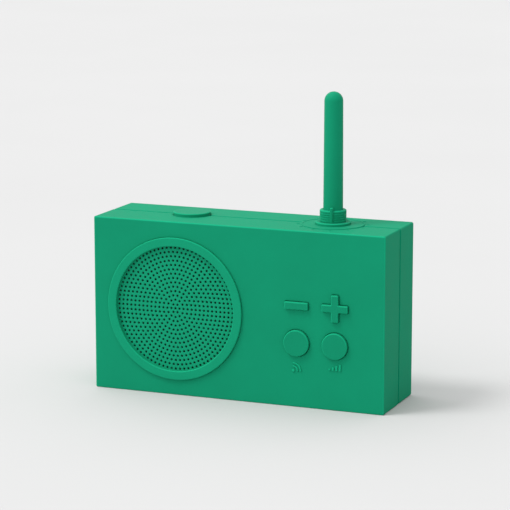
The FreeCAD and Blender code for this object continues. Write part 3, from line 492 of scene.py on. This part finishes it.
def make_front_cover():
    seam = CASE_HIGH.y
    inner_face = FACE + WALL
    outline = rectangle_outline(CASE_CENTRE, 2 * HALF_WIDTH, TOP, FRONT_ROUND, FRONT_STEPS)
    shell = Shell()
    outer = shell.stack(outline, cover_side(seam, FACE, FRONT_ROUND, FRONT_STEPS))
    inner = shell.stack(outline, [(-WALL, seam), (-WALL, inner_face)])
    ring_hole = circle_outline(RING_CENTRE, radius_of(RING_LOW, RING_HIGH) + RING_GAP, FINE_SIDES)
    front_holes = []
    inner_holes = []
    for hole, gap in [(ring_hole, 0), *((key_outline(key), KEY_GAP) for key in KEYS)]:
        side = [(gap + OPENING_INSET, FACE, 0), (gap, FACE, OPENING_ROUND), (gap, inner_face, 0)]
        loops = shell.stack(hole, rounded(side, OPENING_STEPS, False))
        front_holes.append(loops[0])
        inner_holes.append(loops[-1])
    shell.fill(outer[-1], front_holes)
    shell.fill(inner[-1], inner_holes)
    cover = shell.finish("front_cover_shell", CASE_SILICONE)
    carve(cover, power_hole_cutter())
    paint_edge_highlights(cover)
    mount(cover, "case", ["front_cover"])


PORT_LOW, PORT_HIGH = span("port_cover")
PORT_CENTRE = front_centre(PORT_LOW, PORT_HIGH)
PORT_ROUND = 0.8
PORT_GAP = 0.25
PORT_DEPTH = 1.5
PORT_CHAMFER = 0.15
PORT_INSET = 0.5
SOCKET_TOP = span("charge_socket")[1].z
MOUTH_CENTRE = (PORT_CENTRE[0], SOCKET_TOP - 1.6)
MOUTH_WIDTH = 9.6
MOUTH_HEIGHT = 3.8
MOUTH_ROUND = 1.2
NOTCH_RADIUS = 4.0
NOTCH_DROP = 1.25         # from the flap's top edge down to the nail notch's centre
NOTCH_DEPTH = 1.0
NOTCH_SIDES = 48


def port_outline(margin):
    width = PORT_HIGH.x - PORT_LOW.x + 2 * margin
    height = PORT_HIGH.z - PORT_LOW.z + 2 * margin
    return rectangle_outline(PORT_CENTRE, width, height, PORT_ROUND)


def nail_notch_cutter():
    shell = Shell()
    thumb = circle_outline((PORT_CENTRE[0], PORT_HIGH.z - NOTCH_DROP), NOTCH_RADIUS, NOTCH_SIDES)
    shell.solid(thumb, [(0, BACK - NOTCH_DEPTH), (0, BACK + NOTCH_DEPTH)])
    return shell.finish("nail_notch_cutter", CASE_SILICONE)


def make_rear_cover():
    inner_face = BACK - WALL
    outline = rectangle_outline(CASE_CENTRE, 2 * HALF_WIDTH, TOP, REAR_ROUND, REAR_STEPS)
    shell = Shell()
    outer = shell.stack(outline, cover_side(REAR_LOW.y, BACK, REAR_ROUND, REAR_STEPS))
    inner = shell.stack(outline, [(-WALL, REAR_LOW.y), (-WALL, inner_face)])
    recess = shell.stack(port_outline(PORT_GAP), [
        (PORT_INSET, BACK), (PORT_CHAMFER, BACK), (0, BACK - PORT_CHAMFER), (0, BACK - PORT_DEPTH)])
    mouth = rectangle_outline(MOUTH_CENTRE, MOUTH_WIDTH, MOUTH_HEIGHT, MOUTH_ROUND)
    throat = shell.stack(mouth, [(0, BACK - PORT_DEPTH), (0, inner_face)])
    shell.fill(outer[-1], [recess[0]])
    shell.fill(recess[-1], [throat[0]])
    shell.fill(inner[-1], [throat[-1]])
    cover = shell.finish("rear_cover_shell", CASE_SILICONE)
    carve(cover, power_hole_cutter())
    carve(cover, nail_notch_cutter())
    mount(cover, "case", ["rear_cover"])


FLAP_THICK = 1.4
FLAP_CHAMFER = 0.25
FLAP_ROUND = 0.3


def make_port_flap():
    front = BACK - FLAP_THICK
    shell = Shell()
    shell.solid(port_outline(0), [
        (-0.6, front), (-FLAP_CHAMFER, front), (0, front + FLAP_CHAMFER), (0, BACK - FLAP_ROUND),
        (-0.1, BACK - 0.09), (-FLAP_ROUND, BACK), (-0.8, BACK)])
    flap = shell.finish("port_flap_plate", CASE_SILICONE)
    mount(flap, "port_flap", ["port_cover"])


# ---------------------------------------------------------------- marks on the front
MARK_ROOT = 0.3           # how far a mark reaches into the cover
MARK_ROUND = 0.2
DOT_PLACE = (-1.5, -13.2)     # from the pairing key's centre
DOT_RADIUS = 0.7
DOT_SIDES = 24
WAVE_RADII = (2.05, 3.55)
WAVE_WIDTH = 0.7
BARS_PLACE = (-3.05, -11.65)  # from the band key's centre to the first bar's lower left corner
BAR_HEIGHTS = (0.9, 1.6, 2.3, 3.1)
BAR_WIDTH = 1.0
BAR_PITCH = 1.7


def raised_mark(name, outline):
    top = FACE - MARK_RELIEF
    side = rounded([(0, FACE + MARK_ROOT, 0), (0, top, MARK_ROUND), (-1, top, 0)], 3, False)
    shell = Shell()
    shell.solid(outline, side[:-1])
    # The whole mark takes the paler edge skin: a painted highlight.
    mount(shell.finish(name, EDGE_HIGHLIGHT_SILICONE), "case", [])


def mark_bar(name, left, right, low, high, radius):
    """A raised rounded bar on the front face."""
    centre = ((left + right) / 2, (low + high) / 2)
    raised_mark(name, rectangle_outline(centre, right - left, high - low, radius, 4))


def make_marks():
    """Generic signs moulded under the round keys: a dot with two waves, and four rising bars."""
    across, up = front_centre(*span("pairing_key"))
    dot = Vector((across + DOT_PLACE[0], up + DOT_PLACE[1]))
    raised_mark("pairing_mark_dot", circle_outline(dot, DOT_RADIUS, DOT_SIDES))
    for index, radius in enumerate(WAVE_RADII):
        raised_mark(f"pairing_mark_wave_{index}", arc_outline(dot, radius, WAVE_WIDTH, 0, 90))
    across, up = front_centre(*span("band_key"))
    foot = up + BARS_PLACE[1]
    for index, height in enumerate(BAR_HEIGHTS):
        left = across + BARS_PLACE[0] + BAR_PITCH * index
        mark_bar(f"band_mark_bar_{index}", left, left + BAR_WIDTH, foot, foot + height, MARK_ROUND)


# ---------------------------------------------------------------- speaker front
RING_BORE = 30.23
RING_ROUND = 0.5
RING_SIDES = 160
SEAT_GAP = 0.1            # round the grille in the ring's seat
SEAT_ROUND = 0.05


def make_grille_ring():
    front = RING_LOW.y
    back = RING_HIGH.y
    seat = GRILLE_LOW.y
    outer = radius_of(RING_LOW, RING_HIGH)
    seat_radius = radius_of(GRILLE_LOW, GRILLE_HIGH) + SEAT_GAP
    profile = rounded([
        (RING_BORE, front, RING_ROUND), (outer, front, RING_ROUND), (outer, back, 0.1),
        (seat_radius, back, SEAT_ROUND), (seat_radius, seat, SEAT_ROUND), (RING_BORE, seat, SEAT_ROUND)])
    shell = Shell()
    shell.stack(circle_outline(RING_CENTRE, 0, RING_SIDES), profile, closed=True)
    band = shell.finish("grille_ring_band", RING_SILICONE)
    paint_edge_highlights(band)
    mount(band, "case", ["grille_ring"])


HOLE_PITCH = 2.1
HOLE_RADIUS = 0.58
HOLE_RINGS = 14
HOLE_SIDES = 14
HOLE_CHAMFER = (0.03, 0.05)   # width, depth
HOLE_SHARP_ANGLE = 60.0


def grille_hole_centres():
    """A centre hole, then rings of six more holes each."""
    yield RING_CENTRE
    for ring in range(1, HOLE_RINGS + 1):
        for step in range(6 * ring):
            angle = math.radians(60 * step / ring)
            yield RING_CENTRE + Vector((math.cos(angle), math.sin(angle))) * ring * HOLE_PITCH


def make_grille():
    front = GRILLE_LOW.y
    back = GRILLE_HIGH.y
    width, depth = HOLE_CHAMFER
    shell = Shell()
    rim = circle_outline(RING_CENTRE, radius_of(GRILLE_LOW, GRILLE_HIGH), FINE_SIDES)
    edge = shell.stack(rim, [(0, front), (0, back)])
    holes = [shell.stack(circle_outline(centre, HOLE_RADIUS, HOLE_SIDES),
                         [(width, front), (0, front + depth), (0, back)])
             for centre in grille_hole_centres()]
    shell.fill(edge[0], [loops[0] for loops in holes])
    shell.fill(edge[-1], [loops[-1] for loops in holes])
    disc = shell.finish("speaker_grille_disc", RING_SILICONE, HOLE_SHARP_ANGLE)
    mount(disc, "case", ["speaker_grille"])


SPIDER_LOW, SPIDER_HIGH = span("driver_spider")
SPIDER_BORE = 6.95
SPIDER_WAVES = 4
SPIDER_CLOTH = 0.3
WAVE_STEPS = 12
SPIDER_SHARP_ANGLE = 60.0


def make_spider():
    """The corrugated resin cloth that centres the coil, just clear of the moving cone's neck."""
    rim = radius_of(SPIDER_LOW, SPIDER_HIGH)
    middle = (SPIDER_LOW.y + SPIDER_HIGH.y) / 2
    swing = (SPIDER_HIGH.y - SPIDER_LOW.y - SPIDER_CLOTH) / 2
    steps = WAVE_STEPS * SPIDER_WAVES
    wave = []
    for step in range(steps + 1):
        share = step / steps
        lift = swing * math.sin(math.tau * SPIDER_WAVES * share)
        wave.append((SPIDER_BORE + (rim - SPIDER_BORE) * share, middle + lift))
    front = [(radius, depth - SPIDER_CLOTH / 2) for radius, depth in wave]
    back = [(radius, depth + SPIDER_CLOTH / 2) for radius, depth in reversed(wave)]
    shell = Shell()
    shell.stack(circle_outline(RING_CENTRE, 0), front + back, closed=True)
    cloth = shell.finish("driver_spider_waves", FINISHES["spider_cloth"], SPIDER_SHARP_ANGLE)
    mount(cloth, "case", ["driver_spider"])


# ---------------------------------------------------------------- keys and button
KEY_ROUND = 0.62
KEY_LIP_THICK = 0.8
KEY_DISH = 0.02           # how far a key's face lies below its rim
DISH_INSET = 0.5
BUTTON_FOOT_RADIUS = 4.2
BUTTON_FOOT_THICK = 1.0
BUTTON_NECK_RADIUS = 3.0
BUTTON_CAP_FOOT = 3.7     # from the button's foot up to its cap


def make_key(key):
    low, high = span(f"{key}_key")
    lip = high.y - KEY_LIP_THICK
    side = rounded([(0, lip, 0), (0, low.y, KEY_ROUND), (-1, low.y, 0)], 6, False)
    dish = [(-KEY_ROUND - DISH_INSET, low.y + KEY_DISH)]
    shell = Shell()
    shell.solid(key_outline(key), [(KEY_LIP, high.y), (KEY_LIP, lip)] + side[:-1] + dish)
    cap = shell.finish(f"{key}_key_cap", KEY_SILICONE)
    paint_edge_highlights(cap)
    mount(cap, f"{key}_key", [f"{key}_key"])


def make_power_button():
    foot = POWER_LOW.z
    foot_top = foot + BUTTON_FOOT_THICK
    cap_foot = foot + BUTTON_CAP_FOOT
    profile = [(0, foot, 0), (BUTTON_FOOT_RADIUS, foot, 0.1), (BUTTON_FOOT_RADIUS, foot_top, 0.1),
               (BUTTON_NECK_RADIUS, foot_top, 0), (BUTTON_NECK_RADIUS, cap_foot, 0),
               (POWER_RADIUS, cap_foot, 0.2), (POWER_RADIUS, POWER_HIGH.z, 0.5), (0, POWER_HIGH.z, 0)]
    button = turned("power_button_disc", profile, POWER_CENTRE, KEY_SILICONE)
    paint_edge_highlights(button, UPRIGHT)
    mount(button, "power_button", ["power_button"])


# ---------------------------------------------------------------- aerial
BASE_BORE = 3.05
BASE_NECK_RADIUS = 5.0
FLANGE_RADIUS = 8.4
COLLAR_FOOT = span("tuning_collar")[0].z
COLLAR_RIM = TOP + 7.2
COLLAR_RADIUS = 6.3
COLLAR_BORE = 3.0
COLLAR_SOCKET_RADIUS = 4.7
COLLAR_SOCKET_DEPTH = 1.5
GRIP_RINGS = 4
GRIP_START = 0.9
GRIP_PITCH = 1.05
GRIP_DEPTH = 0.18
GRIP_WIDTH = 0.4
GRIP_SLOPE = 0.12
GRIP_ROUND = 0.03
POINTER_TURN = math.radians(13.0)
POINTER_PLACE = (0, -6.0)
POINTER_WIDTH = 1.5
POINTER_LENGTH = 1.8
POINTER_ROUND = 0.5
POINTER_RISE = 1.6
MAST_BORE = 1.3
MAST_FOOT_RADIUS = 4.65
MAST_TIP_RADIUS = 4.38
MAST_SUNK = 1.4           # from the collar's rim down to the mast's foot
MAST_STEPS = 14


def make_aerial_base():
    profile = [(BASE_BORE, BASE_LOW.z, 0), (BASE_NECK_RADIUS, BASE_LOW.z, 0.1), (BASE_NECK_RADIUS, TOP, 0),
               (FLANGE_RADIUS, TOP, 0.1), (FLANGE_RADIUS, BASE_HIGH.z, 0.6), (BASE_BORE, BASE_HIGH.z, 0.1)]
    base = turned("antenna_base_flange", profile, AERIAL, CASE_SILICONE, closed=True)
    paint_edge_highlights(base, UPRIGHT)
    mount(base, "case", ["antenna_base"])


def make_tuning_collar():
    """The knob's band with its grip rings, and the pointer rib that stands in its side."""
    groove = COLLAR_RADIUS - GRIP_DEPTH
    rings = []
    for step in range(GRIP_RINGS):
        low = COLLAR_FOOT + GRIP_START + GRIP_PITCH * step
        rings += [(COLLAR_RADIUS, low, GRIP_ROUND), (groove, low + GRIP_SLOPE, GRIP_ROUND),
                  (groove, low + GRIP_WIDTH - GRIP_SLOPE, GRIP_ROUND),
                  (COLLAR_RADIUS, low + GRIP_WIDTH, GRIP_ROUND)]
    socket_floor = COLLAR_RIM - COLLAR_SOCKET_DEPTH
    profile = [(COLLAR_BORE, COLLAR_FOOT, 0.05), (COLLAR_RADIUS, COLLAR_FOOT, 0.1), *rings,
               (COLLAR_RADIUS - 0.02, COLLAR_RIM, 0.7), (COLLAR_SOCKET_RADIUS, COLLAR_RIM, 0.2),
               (COLLAR_SOCKET_RADIUS, socket_floor, 0), (COLLAR_BORE, socket_floor, 0)]
    collar = turned("tuning_collar_band", profile, AERIAL, ANTENNA_SILICONE, closed=True)
    top = COLLAR_RIM + POINTER_RISE
    side = rounded([(0, COLLAR_FOOT, 0), (0, top, POINTER_ROUND), (-1, top, 0)], 5, False)
    rib = rectangle_outline(POINTER_PLACE, POINTER_WIDTH, POINTER_LENGTH, POINTER_ROUND)
    shell = Shell(UPRIGHT)
    shell.solid(about_aerial(rib, POINTER_TURN), side[:-1])
    pointer = shell.finish("tuning_pointer_rib", ANTENNA_SILICONE)
    paint_edge_highlights(pointer, UPRIGHT)
    paint_edge_highlights(collar, UPRIGHT)
    mount(pointer, "tuning_knob", [])
    mount(collar, "tuning_knob", ["tuning_collar"])


def make_mast():
    top = span("antenna_sheath")[1].z
    foot = COLLAR_RIM - MAST_SUNK
    profile = [(MAST_BORE, foot, 0), (MAST_FOOT_RADIUS, foot, 0.05),
               (MAST_TIP_RADIUS, top, MAST_TIP_RADIUS - 0.02), (0, top, 0)]
    mast = turned("antenna_sheath_skin", profile, AERIAL, ANTENNA_SILICONE, MAST_STEPS)
    mount(mast, "tuning_knob", ["antenna_sheath"])


DIAL_BORE = 8.5
DIAL_RIM_WIDTH = 0.8
DIAL_RECESS = 0.15
DIAL_STEPS = 4
TICK_TURNS = range(-135, 136, 30)
TICK_WIDTH = 0.8
TICK_LENGTH = 1.5
TICK_ROUND = 0.25
TICK_GAP = 1.45           # from the dial's rim out to the middle of a tick
TICK_ROOT = 0.1
TICK_RISE = 0.2
TICK_CHAMFER = 0.12


def make_dial():
    low, high = span("dial_plate")
    radius = radius_of(low, high)
    recess = high.z - DIAL_RECESS
    profile = [(DIAL_BORE, low.z, 0), (radius, low.z, 0), (radius, high.z, 0.12),
               (radius - DIAL_RIM_WIDTH, high.z, 0.12), (radius - DIAL_RIM_WIDTH, recess, 0.05),
               (DIAL_BORE, recess, 0)]
    plate = turned("dial_plate_disc", profile, AERIAL, CASE_SILICONE, DIAL_STEPS, FINE_SIDES, closed=True)
    mount(plate, "case", ["dial_plate"])
    tick = rectangle_outline((0, -radius - TICK_GAP), TICK_WIDTH, TICK_LENGTH, TICK_ROUND, 3)
    top = TOP + TICK_RISE
    side = [(0, TOP - TICK_ROOT), (0, top - TICK_CHAMFER), (-TICK_CHAMFER, top), (-TICK_ROUND, top)]
    shell = Shell(UPRIGHT)
    for turn in TICK_TURNS:
        shell.solid(about_aerial(tick, math.radians(turn)), side)
    mount(shell.finish("dial_tick_bars", CASE_SILICONE), "case", ["dial_ticks"])


make_front_cover()
make_rear_cover()
make_marks()
make_port_flap()
make_grille_ring()
make_grille()
make_spider()
for name in KEYS:
    make_key(name)
make_power_button()
make_aerial_base()
make_tuning_collar()
make_mast()
make_dial()


# ---------------------------------------------------------------- floor, light and camera
FLOOR_REACH = 12.0        # metres
FLOOR_TONE = (0.54, 0.54, 0.54)
FLOOR_MOTTLE = 3.0
FLOOR_SPREAD = 0.01
BRIGHT_SIDE = Vector((-0.62, -0.12, 0.78)).normalized()
DIM_LEVEL = 0.05
BRIGHT_LEVEL = 1.6
KEY_LIGHT_SIDE = Vector((-0.42, -0.32, 0.85))
KEY_LIGHT_STRENGTH = 1.35
KEY_LIGHT_SOFTNESS = math.radians(18.0)
CAMERA_AZIMUTH = math.radians(21.835)
CAMERA_ELEVATION = math.radians(10.966)
CAMERA_DISTANCE = 1.08    # metres
CAMERA_TARGET = Vector((0.0044, -0.0080, 0.0683))
CAMERA_LENS = 161.46
CAMERA_SENSOR = 36


def make_floor():
    """A plain pale floor, wide enough to fill the view from any side."""
    grid = bmesh.new()
    bmesh.ops.create_grid(grid, x_segments=8, y_segments=8, size=FLOOR_REACH)
    data = bpy.data.meshes.new("floor")
    grid.to_mesh(data)
    grid.free()
    floor = bpy.data.objects.new("floor", data)
    bpy.context.scene.collection.objects.link(floor)
    material, tree, shader = new_material("pale_floor")
    tone = ramp(tree, noise(tree, FLOOR_MOTTLE).outputs["Fac"],
                scaled(FLOOR_TONE, 1 - FLOOR_SPREAD), scaled(FLOOR_TONE, 1 + FLOOR_SPREAD))
    tree.links.new(tone.outputs["Color"], shader.inputs["Base Color"])
    shader.inputs["Roughness"].default_value = 1.0
    shader.inputs["Specular IOR Level"].default_value = 0.0
    data.materials.append(material)


def aim(item, place, target):
    item.location = place
    item.rotation_euler = (target - place).to_track_quat("-Z", "Y").to_euler()


def make_key_light():
    """One soft distant light; its side points from the object to the light."""
    light = bpy.data.lights.new("key_light", "SUN")
    light.energy = KEY_LIGHT_STRENGTH
    light.angle = KEY_LIGHT_SOFTNESS
    lamp = bpy.data.objects.new("key_light", light)
    bpy.context.scene.collection.objects.link(lamp)
    aim(lamp, KEY_LIGHT_SIDE, Vector((0, 0, 0)))


def make_world():
    """A studio that is bright towards BRIGHT_SIDE, high on the left, and dim on the other side."""
    world = bpy.data.worlds.new("studio")
    world.use_nodes = True
    tree = world.node_tree
    sky = tree.nodes["Background"]
    sky.inputs["Color"].default_value = (1, 1, 1, 1)
    direction = tree.nodes.new("ShaderNodeTexCoord")
    along = tree.nodes.new("ShaderNodeVectorMath")
    along.operation = "DOT_PRODUCT"
    along.inputs[1].default_value = BRIGHT_SIDE
    tree.links.new(direction.outputs["Generated"], along.inputs[0])
    level = tree.nodes.new("ShaderNodeMapRange")
    level.inputs["From Min"].default_value = -1
    level.inputs["From Max"].default_value = 1
    level.inputs["To Min"].default_value = DIM_LEVEL
    level.inputs["To Max"].default_value = BRIGHT_LEVEL
    tree.links.new(along.outputs["Value"], level.inputs["Value"])
    tree.links.new(level.outputs["Result"], sky.inputs["Strength"])
    bpy.context.scene.world = world


def make_camera():
    """The photograph's own view, solved from the case's straight edges."""
    away = Vector((math.sin(CAMERA_AZIMUTH) * math.cos(CAMERA_ELEVATION),
                   -math.cos(CAMERA_AZIMUTH) * math.cos(CAMERA_ELEVATION), math.sin(CAMERA_ELEVATION)))
    camera = bpy.data.cameras.new("camera")
    camera.lens = CAMERA_LENS
    camera.sensor_width = CAMERA_SENSOR
    view = bpy.data.objects.new("camera", camera)
    bpy.context.scene.collection.objects.link(view)
    aim(view, CAMERA_TARGET + away * CAMERA_DISTANCE, CAMERA_TARGET)
    bpy.context.scene.camera = view


make_floor()
make_world()
make_key_light()
make_camera()
bpy.context.scene.view_settings.view_transform = "Standard"
